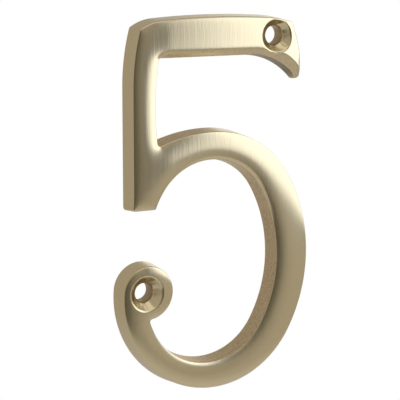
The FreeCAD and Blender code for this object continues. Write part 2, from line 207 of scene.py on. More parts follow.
shoulder_corner = meet(flare, FLARE_RADIUS - CORNER_RADIUS, shoulder, SHOULDER_RADIUS - CORNER_RADIUS, -1)
slope_corner = meet(slope, SLOPE_RADIUS - CORNER_RADIUS, flag_end, END_RADIUS - CORNER_RADIUS, -1)
tip = meet(flag_end, END_RADIUS - TIP_RADIUS, hook, HOOK_RADIUS + TIP_RADIUS, 1)
waist_corner = left_of(waist, WAIST_RADIUS - INNER_RADIUS, underside - INNER_RADIUS)
arm_corner = meet(waist, WAIST_RADIUS - INNER_RADIUS, arm, ARM_RADIUS + INNER_RADIUS, -1)
notch = meet(ball, BALL_RADIUS + INNER_RADIUS, inner_base, base_inner_radius - INNER_RADIUS, -1)
foot_right = left_of(inner_top, top_inner_radius + CORNER_RADIUS, foot_level + CORNER_RADIUS)
foot_left = spot(STEM_LEFT + CORNER_RADIUS, foot_level + CORNER_RADIUS)
print("tip at", tip.round(2), "notch at", notch.round(2))

# %% [markdown]
# The chain goes round the numeral with the metal on its right. A stretch is a line, given by a point and a
# direction, or an arc, given by its centre, its radius and its sense. Where one ends and the next begins
# isn't written down: stretches that touch smoothly meet in line with their centres, so it follows.

# %% The chain of stretches
LEFT_WARD = np.array([-1.0, 0.0])
UP_WARD = np.array([0.0, 1.0])
CLOCKWISE = 1
ANTICLOCKWISE = -1
CHAIN = {
    "left": (spot(STEM_LEFT, foot_level), UP_WARD),
    "flare": (flare, FLARE_RADIUS, CLOCKWISE),
    "shoulder_corner": (shoulder_corner, CORNER_RADIUS, CLOCKWISE),
    "shoulder": (shoulder, SHOULDER_RADIUS, CLOCKWISE),
    "top": (top, TOP_RADIUS, CLOCKWISE),
    "slope": (slope, SLOPE_RADIUS, CLOCKWISE),
    "slope_corner": (slope_corner, CORNER_RADIUS, CLOCKWISE),
    "flag_end": (flag_end, END_RADIUS, CLOCKWISE),
    "tip": (tip, TIP_RADIUS, CLOCKWISE),
    "hook": (hook, HOOK_RADIUS, ANTICLOCKWISE),
    "underside": (spot(0, underside), LEFT_WARD),
    "waist_corner": (waist_corner, INNER_RADIUS, ANTICLOCKWISE),
    "waist": (waist, WAIST_RADIUS, ANTICLOCKWISE),
    "arm_corner": (arm_corner, INNER_RADIUS, ANTICLOCKWISE),
    "arm": (arm, ARM_RADIUS, CLOCKWISE),
    "outer_top": (outer_top, outer_radius, CLOCKWISE),
    "outer_side": (outer_side, side_radius, CLOCKWISE),
    "outer_base": (outer_base, outer_radius, CLOCKWISE),
    "ball": (ball, BALL_RADIUS, CLOCKWISE),
    "notch": (notch, INNER_RADIUS, ANTICLOCKWISE),
    "inner_base": (inner_base, base_inner_radius, ANTICLOCKWISE),
    "lower_side": (lower_side, lower_side_radius, ANTICLOCKWISE),
    "upper_side": (upper_side, upper_side_radius, ANTICLOCKWISE),
    "inner_top": (inner_top, top_inner_radius, ANTICLOCKWISE),
    "foot_right": (foot_right, CORNER_RADIUS, CLOCKWISE),
    "foot": (spot(STEM_LEFT, foot_level), LEFT_WARD),
    "foot_left": (foot_left, CORNER_RADIUS, CLOCKWISE),
}
NAMES = list(CHAIN)


def is_line(name):
    """Whether a stretch is a line: a line has two values and an arc three."""
    return len(CHAIN[name]) == 2


def joint(first, second):
    """Where a stretch runs into the next.

    Between a line and an arc it is the foot of the perpendicular from the centre. Between two arcs it lies in
    line with both centres, one radius from the first.
    """
    for line, arc in ((first, second), (second, first)):
        if is_line(line):
            start, direction = CHAIN[line]
            return start + direction * np.dot(CHAIN[arc][0] - start, direction)
    (center, radius, turn), (other, other_radius, other_turn) = CHAIN[first], CHAIN[second]
    inward = turn == other_turn and radius < other_radius
    return center + unit(center - other if inward else other - center) * radius


ENDS = {name: joint(name, after) for name, after in zip(NAMES, NAMES[1:] + NAMES[:1])}
STARTS = {name: ENDS[before] for name, before in zip(NAMES, NAMES[-1:] + NAMES[:-1])}
print("chain of", len(NAMES), "stretches, of which", sum(map(is_line, NAMES)), "are lines")

# %% [markdown]
# Walking along the chain in even steps turns it into points, each with the normal that points out of the
# metal. The steps are about a fifth of a millimetre, fine enough that no flat shows in a highlight.

# %% Walk along the chain
STEP = 0.22
FEWEST = 6


def turned(name, along=None):
    """The angle an arc turns through from its start to a direction, or to its end, in its own sense."""
    center, _, turn = CHAIN[name]
    begin = np.arctan2(*(STARTS[name] - center)[::-1])
    vector = ENDS[name] - center if along is None else along
    return (turn * (begin - np.arctan2(vector[..., 1], vector[..., 0]))) % (2 * math.pi)


def walk(name, share):
    """Points of a stretch at shares of its length from 0 to 1, and the normals there.

    A line runs straight from start to end. An arc is its centre plus radius times (cos, sin) of the start
    angle less the turned angle. The metal lies on the right of the walk, so the normal is on the left.
    """
    if is_line(name):
        direction = CHAIN[name][1]
        points = STARTS[name] + (ENDS[name] - STARTS[name]) * share[:, None]
        return points, np.tile([-direction[1], direction[0]], (len(share), 1))
    center, radius, turn = CHAIN[name]
    begin = np.arctan2(*(STARTS[name] - center)[::-1])
    angle = begin - turn * turned(name) * share
    ray = np.stack([np.cos(angle), np.sin(angle)], axis=1)
    return center + radius * ray, turn * ray


def length(name):
    """Length of a stretch: end less start for a line, radius times turned angle for an arc."""
    if is_line(name):
        return np.hypot(*(ENDS[name] - STARTS[name]))
    return CHAIN[name][1] * turned(name)


counts = {name: max(FEWEST, math.ceil(length(name) / STEP)) for name in NAMES}
walks = [walk(name, np.arange(counts[name]) / counts[name]) for name in NAMES]
path = np.concatenate([points for points, _ in walks])
normal = np.concatenate([normals for _, normals in walks])
stretch_of = np.repeat(np.arange(len(NAMES)), list(counts.values()))
print("outline of", len(path), "points,", round(sum(map(length, NAMES)), 1), "mm long")

# %% [markdown]
# Two measures of how far a point lies inside the outline shape the face. The plain distance to the nearest
# stretch gives what follows one edge, such as a rubbed end. It could be looked up among the outline's points,
# but lines and arcs have an exact distance, and a highlight shows the difference.

# %% Plain distance from the outline


def stretch_distance(name, spots):
    """Distance from points to a stretch: to the arc or line beside it, and to its nearer end past it."""
    ends = np.minimum(np.hypot(*(spots - STARTS[name]).T), np.hypot(*(spots - ENDS[name]).T))
    if is_line(name):
        direction = CHAIN[name][1]
        along = (spots - STARTS[name]) @ direction
        beside = (along > 0) & (along < length(name))
        return np.where(beside, np.abs((spots - STARTS[name]) @ [-direction[1], direction[0]]), ends)
    center, radius, _ = CHAIN[name]
    beside = turned(name, spots - center) < turned(name)
    return np.where(beside, np.abs(np.hypot(*(spots - center).T) - radius), ends)


def edge_distance(spots, names=NAMES):
    """Distance from points to the nearest of some stretches."""
    return np.min([stretch_distance(name, spots) for name in names], axis=0)


side_middle = np.array([spot(BOWL_REACH - SIDE_WIDTH / 2, BOWL_HEIGHT / 2)])
print("plain distance at the middle of the bowl's side", edge_distance(side_middle).round(2))

# %% [markdown]
# A smooth distance gives the crown: it rises from every edge at the same rate and has no crease along the
# middle of a stroke, as a rubbed face has none. It comes from averaging one over the distance to the outline
# in all directions, which for a polygon has a closed form, edge by edge.

# %% Smooth distance from the outline
CHUNK = 400


def in_chunks(rule, spots):
    """A rule's values at many points, worked out for a few hundred at a time to spare memory."""
    return np.concatenate([rule(some) for some in np.array_split(spots, max(1, len(spots) // CHUNK))])


def seen_outline(spots):
    """Offsets in x and z from each of some points to the outline's points, and to the ones next to those."""
    x = path[None, :, 0] - spots[:, 0, None]
    z = path[None, :, 1] - spots[:, 1, None]
    return x, z, np.roll(x, -1, axis=1), np.roll(z, -1, axis=1)


def mean_value(spots):
    """Smooth distance inside the outline: 2 over the sum, for all its edges, of tan(a / 2) (1 / r + 1 / R).

    Here a is the angle that an edge fills, seen from the point, and r and R are the distances to its ends.
    Between two straight parallel edges it is the product of both distances over their sum, a parabola.
    """
    x, z, x_next, z_next = seen_outline(spots)
    near = np.hypot(x, z)
    near_next = np.roll(near, -1, axis=1)
    half_tangent = (x * z_next - z * x_next) / (near * near_next + x * x_next + z * z_next)
    return 2 / np.abs(np.sum(half_tangent * (1 / near + 1 / near_next), axis=1))


def smooth_inset(spots):
    """The smooth distance at many points."""
    return in_chunks(mean_value, spots)


print("smooth distance at the middle of the bowl's side", smooth_inset(side_middle).round(2))

# %% [markdown]
# The face is a height above the back at every point of the outline's plane. The crown rises from the edges,
# less on the slim stem, and levels off below a cap. The stem's foot is rubbed down towards its end, the
# bowl's inner edge falls off a little under the arm, and the flag's end falls towards its tip. These could be
# carved by hand, but as a sum of simple rules each keeps a size that can be read and changed.

# %% The crown and what is rubbed off it
EDGE_HEIGHT = 4.4
CROWN_CAP = 0.62
CROWN_SLOPE = math.tan(math.radians(19))
STEM_SLOPE = math.tan(math.radians(14))
STEM_FADE = (9.5, 13.5)
STEM_FADE_DROP = 4
FOOT_ROLL, FOOT_RUN = 0.28, 4.0
ARCH_DROP, ARCH_RUN = 0.2, 0.7
END_FALL, END_TIP_FALL, END_RUN = 0.4, 0.7, 3.0
TIP_FADE = (6, 1)


def ease(values, low, high):
    """A smooth step from 0 at low to 1 at high: 3 t t - 2 t t t."""
    share = np.clip((values - low) / (high - low), 0, 1)
    return share * share * (3 - 2 * share)


def roll(distance, run):
    """A smooth fall towards an end: the square of 1 - distance / run, and 0 past the run."""
    return np.clip(1 - distance / run, 0, None)**2


def crown_height(spots):
    """The edge's height plus cap (1 - exp(-slope inset / cap)), with the stem's own slope faded in."""
    x, z = spots.T
    on_stem = ease(-x, *STEM_FADE) * ease(z, foot_level - STEM_FADE_DROP, foot_level)
    slope_here = CROWN_SLOPE + (STEM_SLOPE - CROWN_SLOPE) * on_stem
    return EDGE_HEIGHT + CROWN_CAP * (1 - np.exp(-slope_here * smooth_inset(spots) / CROWN_CAP))


def rubbed_off(spots):
    """What the foot, the arch under the arm and the flag's end lose: each a depth times a roll."""
    x, z = spots.T
    at_foot = (x < COUNTER_TOP_X) & (z > foot_level - MOUTH / 2) & (z < BOWL_HEIGHT)
    foot = np.where(at_foot, FOOT_ROLL * roll(z - foot_level, FOOT_RUN), 0)
    arch = ARCH_DROP * ease(z, counter_middle, counter_middle + counter_rise / 2)
    arch = arch * roll(edge_distance(spots, ["inner_top", "upper_side"]), ARCH_RUN)
    fade_from, fade_to = tip[1] + np.array(TIP_FADE)
    fall = END_FALL + END_TIP_FALL * ease(-z, -fade_from, -fade_to)
    return foot + arch + fall * roll(edge_distance(spots, ["flag_end", "tip"]), END_RUN)


print("crown at the middle of the bowl's side", crown_height(side_middle).round(2), "mm over the back")

# %% [markdown]
# A flat bevel runs along the flag's underside. Along the hook it grows wider and steeper, until it takes the
# whole end. Blender's own bevel would cut one width all along, so this one is a depth taken off the face,
# with a rounded crease between the two.

# %% The bevel under the flag, and the whole face
BEVEL_RUN, BEVEL_SLOPE = 1.0, 0.75
TIP_RUN, TIP_SLOPE = 1.5, 0.85
BEVEL_ROUND = 0.2
BEVEL_START = 3
above_counter = (underside + BOWL_HEIGHT) / 2


def under_flag(spots):
    """Distance in from the flag's lower edge, the bevel's run there, and a share that grows towards the tip.

    Left of the hook's centre the edge is level. Right of it the distance is that to the hook's circle.
    """
    x, z = spots.T
    distance = np.where(x < hook[0], np.abs(z - underside), np.hypot(*(spots - hook).T) - HOOK_RADIUS)
    toward_tip = ease(x, hook[0], tip[0])
    run = BEVEL_RUN * ease(x, stem_right, stem_right + BEVEL_START)
    return distance, run + (TIP_RUN - BEVEL_RUN) * toward_tip, toward_tip


def bevel_depth(spots):
    """Depth of the bevel: its slope times p, half of d + the root of d d + r r, for d inside its run.

    Past the run p dies away within the rounding r, so the crease between bevel and crown is soft.
    """
    distance, run, toward_tip = under_flag(spots)
    past = run - distance
    slope_here = BEVEL_SLOPE + (TIP_SLOPE - BEVEL_SLOPE) * toward_tip
    depth = slope_here * (past + np.hypot(past, BEVEL_ROUND)) / 2
    return np.where(spots[:, 1] > above_counter, depth * ease(run, 0, BEVEL_RUN / 2), 0)


def face_height(spots):
    """Height of the face over the back, in mm: the crown less what is rubbed off and less the bevel."""
    return crown_height(spots) - rubbed_off(spots) - bevel_depth(spots)


print("face at the tip", face_height(np.array([tip])).round(2), "mm over the back")

# %% [markdown]
# The wall and the rounded edge are one profile carried along the outline. The edge turns from the wall onto
# the face along a parabola that is tangent to both, so that it catches a thin line of light as the real one
# does. Edges that a belt can't reach stay crisper. First come the places that steer the parabola: where it
# leaves the wall, where both tangents meet, and the rim, where it joins the face.

# %% Wall and edge, carried along the outline
EDGE_WIDTH = {
    "inner_base": 0.09, "lower_side": 0.09, "notch": 0.09, "upper_side": 0.12, "inner_top": 0.14,
    "hook": 0.12, "underside": 0.12, "tip": 0.12, "top": 0.15, "slope": 0.12, "slope_corner": 0.12,
    "left": 0.13, "flare": 0.15, "arm_corner": 0.1, "arm": 0.1, "outer_top": 0.12,
}
PLAIN_EDGE = 0.2
EDGE_BLUR = 14
EDGE_FALL = 1.3
PROBE = 0.04


def along_outline(values, blur):
    """A value for each stretch, spread over the outline's points and blurred along them by a moving mean."""
    at_points = np.array(values)[stretch_of]
    return np.mean([np.roll(at_points, shift) for shift in range(-blur, blur + 1)], axis=0)


def wall_inset(height):
    """How far inside the blank's outline the wall lies: minus the depth below its front times the draft."""
    return -(BLANK_DEPTH - height) * DRAFT


edge_inset = along_outline([EDGE_WIDTH.get(name, PLAIN_EDGE) for name in NAMES], EDGE_BLUR)
rim = path - normal * edge_inset[:, None]
rim_height = face_height(rim)
rim_slope = (face_height(rim - normal * PROBE) - rim_height) / PROBE
# The corner is where the face's tangent, carried outwards, meets the wall
corner_inset = (wall_inset(rim_height) - DRAFT * rim_slope * edge_inset) / (1 - DRAFT * rim_slope)
corner_height = rim_height + rim_slope * (corner_inset - edge_inset)
wall_top = corner_height - edge_inset * EDGE_FALL
print("face edge from", rim_height.min().round(2), "to", rim_height.max().round(2), "mm over the back")

# %% [markdown]
# From the back the profile takes a small break, climbs the leaning wall and goes over the edge. That makes a
# grid with a row for each step of the profile and a column for each point of the outline, so whole arrays
# give it without a loop.

# %% Rows from the back to the face
WALL_ROWS = 6
EDGE_ROWS = 8
BACK_BREAK = 0.15


def parabola(share, first, middle, last):
    """First, middle and last in shares of (1-t)(1-t), 2t(1-t) and t t: tangent to the lines between them."""
    return (1 - share)**2 * first + 2 * share * (1 - share) * middle + share**2 * last


climb = np.linspace(0, 1, WALL_ROWS)[:, None]
over_edge = np.linspace(0, 1, EDGE_ROWS)[1:, None]
wall_heights = BACK_BREAK + climb * (wall_top - BACK_BREAK)
edge_heights = parabola(over_edge, wall_top, corner_height, rim_height)
edge_insets = parabola(over_edge, wall_inset(wall_top), corner_inset, edge_inset)
back_insets = np.full((1, len(path)), wall_inset(0.0) + BACK_BREAK)
row_insets = np.concatenate([back_insets, wall_inset(wall_heights), edge_insets])
row_heights = np.concatenate([np.zeros((1, len(path))), wall_heights, edge_heights])
row_spots = path[None] - normal[None] * row_insets[..., None]
rows = np.concatenate([row_spots, row_heights[..., None]], axis=2)
print("wall and edge of", len(rows), "rows of", len(path), "points")

# %% [markdown]
# Each screw hole is a turned shape: a bore, then a cone for the screw's head. The cone's rim isn't a circle,
# because the crowned face it breaks through isn't flat, so the rim is found by stepping out along the cone.
# Near the flag's end the cone would cut the edge, and the rim stops short of it.

# %% Rim of a screw hole
BORE_RADIUS = 1.9
SINK_AT_BLANK = 4.26
SINK_LAND = 0.28
TURN_STEPS = 128
ROOM_STEPS = 40
RIM_STEPS = 12
FLAG_HOLE_RUN, FLAG_HOLE_DROP = 6.35, 3.95
BALL_HOLE_SHIFT = 0.5
HOLES = {
    "flag_hole": spot(FLAG_REACH - FLAG_HOLE_RUN, top_level - FLAG_HOLE_DROP),
    "ball_hole": ball - spot(BALL_HOLE_SHIFT, 0),
}
round_turn = np.arange(TURN_STEPS) * (2 * math.pi / TURN_STEPS)
rays = np.stack([np.cos(round_turn), np.sin(round_turn)], axis=1)


def rim_radius(center):
    """Radius of a hole's rim in each direction.

    The cone's radius is that at the blank's front less the depth below it. Putting the face's height into
    that rule again and again settles on the rim. It may go out only as far as a land is left at the edge,
    found by stepping out by the room that is left.
    """
    free = np.full(TURN_STEPS, BORE_RADIUS)
    for _ in range(ROOM_STEPS):
        room = edge_distance(center + rays * free[:, None]) - SINK_LAND
        free = np.minimum(free + room, SINK_AT_BLANK)
    radius = free
    for _ in range(RIM_STEPS):
        face = face_height(center + rays * radius[:, None])
        radius = np.minimum(free, SINK_AT_BLANK - BLANK_DEPTH + face)
    return radius


rims = {name: rim_radius(center) for name, center in HOLES.items()}
for name, radius in rims.items():
    print(name, "at", HOLES[name].round(2), "rim radius", radius.min().round(2), "to", radius.max().round(2))

# %% [markdown]
# Cutting a cone out of the mesh would leave ragged faces at the rim. Instead the hole's profile is carried
# round its axis, with the rim's own radius in each direction and its corners a little broken. A loose
# countersink chatters, which leaves shallow facets round the cone, and they glint.

# %% Screw holes, turned about their axes
SINK_BREAK = 0.1
BORE_BREAK = 0.14
FACETS = 8
FACET_DEPTH = 0.09
CONE_ROWS = 8
LIP_OUT, LIP_UP = 0.25, 0.15
BREAK_OUT, BREAK_DOWN = 0.3, (0.05, 0.9)


def sink_rows(center, radius):
    """Rows of a hole from the face inwards: the broken rim, the cone, the bore and its break at the back.

    Down the cone, height falls as radius does. A facet is one arch of a sine round the cone, deepest half way
    down it, as 4 t (1 - t).
    """
    level = np.ones(TURN_STEPS)
    outer = radius + SINK_BREAK
    lip = radius - SINK_BREAK
    outer_height = face_height(center + rays * outer[:, None])
    down = np.linspace(0, 1, CONE_ROWS)[:, None]
    cone_radius = lip + (BORE_RADIUS + BORE_BREAK - lip) * down
    chatter = FACET_DEPTH * 4 * down * (1 - down) * np.abs(np.sin(FACETS / 2 * round_turn))
    cone_height = cone_radius - SINK_AT_BLANK + BLANK_DEPTH - chatter
    cone_foot = BLANK_DEPTH - (SINK_AT_BLANK - BORE_RADIUS)
    lip_height = (outer_height + cone_height[0]) / 2 + SINK_BREAK * LIP_UP
    bore_radii = [BORE_RADIUS + BORE_BREAK * BREAK_OUT, BORE_RADIUS, BORE_RADIUS, BORE_RADIUS + BACK_BREAK]
    break_top, break_foot = cone_foot - BORE_BREAK * np.array(BREAK_DOWN)
    bore_heights = [break_top, break_foot, BACK_BREAK, 0]
    radii = np.concatenate([[outer, radius + SINK_BREAK * LIP_OUT], cone_radius, np.outer(bore_radii, level)])
    heights = np.concatenate([[outer_height, lip_height], cone_height, np.outer(bore_heights, level)])
    spots = center + rays[None] * radii[..., None]
    return np.concatenate([spots, heights[..., None]], axis=2)


sinks = {name: sink_rows(center, rims[name]) for name, center in HOLES.items()}
print("each hole of", len(sinks["ball_hole"]), "rows of", TURN_STEPS, "points")

# %% [markdown]
# The face is filled with points: rows that follow the edges closely, where the face turns most, rows along
# the bevel's crease, and a plain lattice in the middle. A grid carried along the strokes would have to branch
# where the arm leaves the stem, and points need no such seam.

# %% Rows of points along the edges and the bevel's crease
ROW_INSETS = (0.3, 0.4, 0.52, 0.66, 0.82, 1.0, 1.2)
ROW_SLACK = 0.01
CREASE = (-0.18, -0.06, 0.06, 0.18)
CREASE_FROM = 0.8


def row_inside(inset):
    """The outline moved inwards by an inset, less the points that then lie nearer to another stretch."""
    moved = path - normal * inset
    return moved[edge_distance(moved) > inset - ROW_SLACK]


on_underside = np.isin(stretch_of, [NAMES.index("hook"), NAMES.index("underside")])
under, under_normal = path[on_underside], normal[on_underside]
under_run = under_flag(under)[1]
crease = [under - under_normal * (under_run + shift)[:, None] for shift in CREASE]
crease = np.concatenate([row[under_run > CREASE_FROM] for row in crease])
crease = crease[edge_distance(crease) > ROW_INSETS[0]]
edge_rows = np.concatenate([row_inside(inset) for inset in ROW_INSETS])
print("rows of", len(edge_rows), "points along the edges and", len(crease), "along the crease")

# %% [markdown]
# The lattice first covers the box round the outline. Points outside the outline, or too near to the rows
# along its edges, are then left out, and so is any point of the face too near to the crease or to a hole.

# %% Lattice in the middle
LATTICE = 0.24
LATTICE_GAP = 0.6
CREASE_GAP = 0.25
CREASE_NEAR = 0.75
FLAG_CLEAR = 5
HOLE_GAP = 0.1


def turns_round(spots):
    """Whether the outline goes round points: the angles that its edges fill add up to a full turn."""
    x, z, x_next, z_next = seen_outline(spots)
    return np.abs(np.arctan2(x * z_next - z * x_next, x * x_next + z * z_next).sum(axis=1)) > math.pi


def clear_of_holes(spots):
    """Whether points lie outside the holes by a gap, with the rim's radius read at each point's angle."""
    clear = np.ones(len(spots), bool)
    for name, center in HOLES.items():
        away = spots - center
        angle = np.arctan2(away[:, 1], away[:, 0]) % (2 * math.pi)
        limit = np.interp(angle, round_turn, rims[name] + SINK_BREAK, period=2 * math.pi)
        clear &= np.hypot(*away.T) > limit + HOLE_GAP
    return clear


low, high = path.min(axis=0), path.max(axis=0)
across, upward = (np.arange(low[axis], high[axis], LATTICE) for axis in (0, 1))
lattice = np.stack(np.meshgrid(across, upward), axis=2).reshape(-1, 2)
lattice = lattice[edge_distance(lattice) > ROW_INSETS[-1] + LATTICE_GAP * LATTICE]
lattice = lattice[in_chunks(turns_round, lattice)]
fill = np.concatenate([edge_rows, lattice])
fill_distance, fill_run, _ = under_flag(fill)
by_crease = (np.abs(fill_distance - fill_run) < CREASE_GAP) & (fill_run > CREASE_NEAR)
by_crease &= fill[:, 1] > BOWL_HEIGHT + FLAG_CLEAR
fill = np.concatenate([fill[~by_crease], crease])
fill = fill[clear_of_holes(fill)]
print("face filled with", len(fill), "points, of which", len(lattice), "lay on the lattice")

# %% [markdown]
# The skin is made of four parts: the wall with its edge, the holes, the face and the back. All share one list
# of points, and where two of them meet they use the same ones, so the skin is closed from the start and
# nothing has to be merged.

# %% One list of points
blocks = [rows] + list(sinks.values())
sizes = [block.shape[0] * block.shape[1] for block in blocks]
offsets = np.cumsum([0] + sizes)
wall_grid, *hole_grids = [offset + np.arange(size).reshape(block.shape[:2])
                          for offset, size, block in zip(offsets, sizes, blocks)]
face_points = np.concatenate([fill, face_height(fill)[:, None]], axis=1)
points = np.concatenate([block.reshape(-1, 3) for block in blocks] + [face_points])
fill_numbers = np.arange(offsets[-1], len(points))
print("skin of", len(points), "points")

# %% [markdown]
# A constrained triangulation joins the points of the face inside its edge and outside the holes, and the flat
# back in the same way. It knows nothing of heights, so it works in the outline's plane.

# %% Face and back
MERGE_GAP = 1e-7
INSIDE_ONLY = 1


def triangles(loops, extra):
    """Triangles inside the first loop and outside the others, over the loops' points and extra points inside.

    The result numbers its points anew and lists the given ones that each stands for. A hole has no points
    inside it, so the triangles that fill it have all three corners on its own loop. A triangle whose sides
    turn clockwise is flipped, so that all of them face the same way.
    """
    numbers = np.concatenate(loops + [extra])
    spots = points[numbers, :2]
    starts = np.cumsum([0] + [len(loop) for loop in loops])
    rings = [np.arange(begin, end) for begin, end in zip(starts, starts[1:])]
    edges = np.concatenate([np.stack([ring, np.roll(ring, -1)], axis=1) for ring in rings])
    result = delaunay_2d_cdt(spots.tolist(), edges.tolist(), [], INSIDE_ONLY, MERGE_GAP)
    given = np.fromiter(map(min, result[3]), int)
    found = given[np.array(result[2])]
    owner = np.searchsorted(starts, found, side="right")
    in_hole = (owner == owner[:, :1]).all(axis=1) & (owner[:, 0] > 1) & (owner[:, 0] <= len(loops))
    found = found[~in_hole]
    sides = spots[found][:, 1:] - spots[found][:, :1]
    flip = sides[:, 0, 0] * sides[:, 1, 1] - sides[:, 0, 1] * sides[:, 1, 0] < 0
    found[flip] = found[flip][:, ::-1]
    return numbers[found]


front = triangles([wall_grid[-1]] + [grid[0] for grid in hole_grids], fill_numbers)
back = triangles([wall_grid[0]] + [grid[-1] for grid in hole_grids], np.arange(0))[:, ::-1]
print("face of", len(front), "triangles and back of", len(back))

# %% [markdown]
# The wall and the holes are grids already, and need only four-sided faces between their rows. The corners go
# round in the order that turns each face outwards: a face that looks into the metal would give the edge a
# false crease.

# %% Wall and holes


def bands(grid):
    """Four-sided faces between the rows of a grid of point numbers, each row closed on itself.

    The rows climb towards the face. Seen from outside the metal, the corners go round anticlockwise.
    """
    low_row, high_row = grid[:-1], grid[1:]
    corners = [low_row, high_row, np.roll(high_row, -1, axis=1), np.roll(low_row, -1, axis=1)]
    return np.stack(corners, axis=2).reshape(-1, 4)


wall = bands(wall_grid)
holes = np.concatenate([bands(grid[::-1]) for grid in hole_grids])
print("wall of", len(wall), "faces and holes of", len(holes))

# %% [markdown]
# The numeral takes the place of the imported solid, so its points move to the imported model's own frame: the
# origin lies midway between the holes, on the back, and the face looks towards -y. Smooth shading with sharp
# edges past an angle keeps the crisp break at the back and in the bores.

# %% The numeral
SHARP = math.radians(32)

middle = (HOLES["flag_hole"] + HOLES["ball_hole"]) / 2
place = np.stack([points[:, 0] - middle[0], -points[:, 2], points[:, 1] - middle[1]], axis=1) * MM
mesh = bpy.data.meshes.new("numeral")
mesh.from_pydata(place, [], front.tolist() + back.tolist() + wall.tolist() + holes.tolist())
mesh.validate()
mesh.shade_smooth()
mesh.set_sharp_from_angle(angle=SHARP)
numeral = bpy.data.objects.new("numeral", mesh)
bpy.context.scene.collection.objects.link(numeral)
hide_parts("numeral_five")
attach(numeral, "root")
print("numeral of", len(mesh.vertices), "points and", len(mesh.polygons), "faces")

# %% [markdown]
# The face is rubbed to a satin with upright strokes, and so are the outer walls, less finely. The inner walls
# are out of a belt's reach, so they keep the pale brown, grainy skin of the casting. Under the flag and in
# the bores the metal is darkened with painted shade. A picture painted over the mesh could say where, but the
# outline already knows: each point of the mesh carries how much of that skin it keeps. Past 1 it carries
# painted shade, and below 0 the metal was cut.

# %% How much casting skin, and past 1 how much painted shade, each point keeps
# Values past 1, at the tip, the hook and the underside, are painted shade under the flag
SKIN_AND_SHADE = {
    "left": 0.15, "flare": 0.15, "shoulder_corner": 0.15, "shoulder": 0.1, "top": 0.1, "slope": 0.1,
    "slope_corner": 0.1, "flag_end": 0.2, "tip": 1.2, "hook": 1.8, "underside": 1.5, "outer_top": 0.2,
    "outer_side": 0.15, "outer_base": 0.15, "ball": 0.2, "foot_left": 0.3, "foot": 0.5, "foot_right": 0.6,
}
INNER_SKIN = 1.0
CONE_SKIN = -1.0
# Past 1, so the bores are darkened with painted shade
BORE_SKIN_AND_SHADE = 1.25
BORE_ENDS = slice(-3, -1)
BACK_SKIN = 0.35
SKIN_BLUR = 9
BEVEL_SKIN = 0.6
SKIN_FADE = (0.1, 0.8)


def on_bevel(spots):
    """Whether points lie on the bevel under the flag: nearer to the lower edge than the bevel's run."""
    distance, run, _ = under_flag(spots)
    return (distance < run) & (spots[:, 1] > above_counter)


wall_skin_and_shade = along_outline([SKIN_AND_SHADE.get(name, INNER_SKIN) for name in NAMES], SKIN_BLUR)
up_edge = np.concatenate([np.ones(1 + WALL_ROWS), 1 - ease(over_edge[:, 0], *SKIN_FADE)])[:, None]
rim_skin = BEVEL_SKIN * on_bevel(rim)
outer_skin_and_shade = rim_skin + (wall_skin_and_shade - rim_skin) * up_edge
outer_skin_and_shade[0] = BACK_SKIN
hole_skin_and_shade = np.full(sinks["ball_hole"].shape[:2], CONE_SKIN)
hole_skin_and_shade[BORE_ENDS] = BORE_SKIN_AND_SHADE
hole_skin_and_shade[-1] = BACK_SKIN
hole_skins_and_shade = np.tile(hole_skin_and_shade.ravel(), len(HOLES))
# Cast skin from 0 to 1, painted shade past 1 under the flag and in the bores, cut metal below 0
skin_and_shade = np.concatenate([outer_skin_and_shade.ravel(), hole_skins_and_shade, BEVEL_SKIN * on_bevel(fill)])
mesh.attributes.new("skin_and_shade", "FLOAT", "POINT").data.foreach_set("value", skin_and_shade)
print("skin kept on the walls from", wall_skin_and_shade.min().round(2), "to", wall_skin_and_shade.max().round(2))

# %% [markdown]
# A finish is a net of nodes. Helpers that make a node and fill or link its inputs in one call let the net be
# read as a few formulas: blends, changes of range, products and noises.

# %% Helpers for nodes


def net(owner):
    """The nodes and links of a material or a world, which is told to use them."""
    owner.use_nodes = True
    return owner.node_tree.nodes, owner.node_tree.links


def node(kind, inputs=(), **settings):
    """A new node in the net at hand, with its settings, and with inputs that are constants or sockets."""
    made = nodes.new(kind)
    for name, value in settings.items():
        setattr(made, name, value)
    for key, value in dict(inputs).items():
        if isinstance(value, bpy.types.NodeSocket):
            links.new(value, made.inputs[key])
        else:
            made.inputs[key].default_value = value
    return made


def blend(factor, first, second, kind="FLOAT"):
    """A mix of two values or colours by a factor: first (1 - factor) + second factor."""
    # The node keeps sockets of its own for each kind of value
    first_key, second_key, output = {"FLOAT": (2, 3, 0), "RGBA": (6, 7, 2)}[kind]
    mixed = node("ShaderNodeMix", {0: factor, first_key: first, second_key: second}, data_type=kind)
    return mixed.outputs[output]


def spread(value, low, high, first=0.0, second=1.0, curve="LINEAR"):
    """A value carried from the range low to high onto the range first to second, evenly or by a curve."""
    limits = {"Value": value, "From Min": low, "From Max": high, "To Min": first, "To Max": second}
    return node("ShaderNodeMapRange", limits, interpolation_type=curve).outputs[0]


def reckon(operation, *values):
    """What an operation makes of one or two values, such as their product."""
    return node("ShaderNodeMath", dict(enumerate(values)), operation=operation).outputs[0]


def dot(first, second):
    """The dot product of two vectors."""
    return node("ShaderNodeVectorMath", {0: first, 1: second}, operation="DOT_PRODUCT").outputs["Value"]


def noise(vector, scale, detail):
    """Noise with about this many waves to a metre."""
    return node("ShaderNodeTexNoise", {"Vector": vector, "Scale": scale, "Detail": detail}).outputs["Fac"]


brass = bpy.data.materials.new("satin_brass")
nodes, links = net(brass)
print("brass starts with the nodes", nodes.keys())

# %% [markdown]
# Rubbing leaves strokes of two widths, long and upright: fine ones that dull the gloss, and broader ones that
# waver the mirror image a little. The casting skin has grains, and patches that are duller than others. Each
# pattern is a noise on the object's own coordinates, and for the strokes the noise is drawn out upwards.

# %% Patterns of the finish
DRAWN_OUT = (1.0, 1.0, 0.02)
FINE_SCALE, BROAD_SCALE, PATCH_SCALE, GRAIN_SCALE = 6000.0, 2000.0, 120.0, 2600.0
DETAIL, GRAIN_DETAIL = 2.0, 4.0

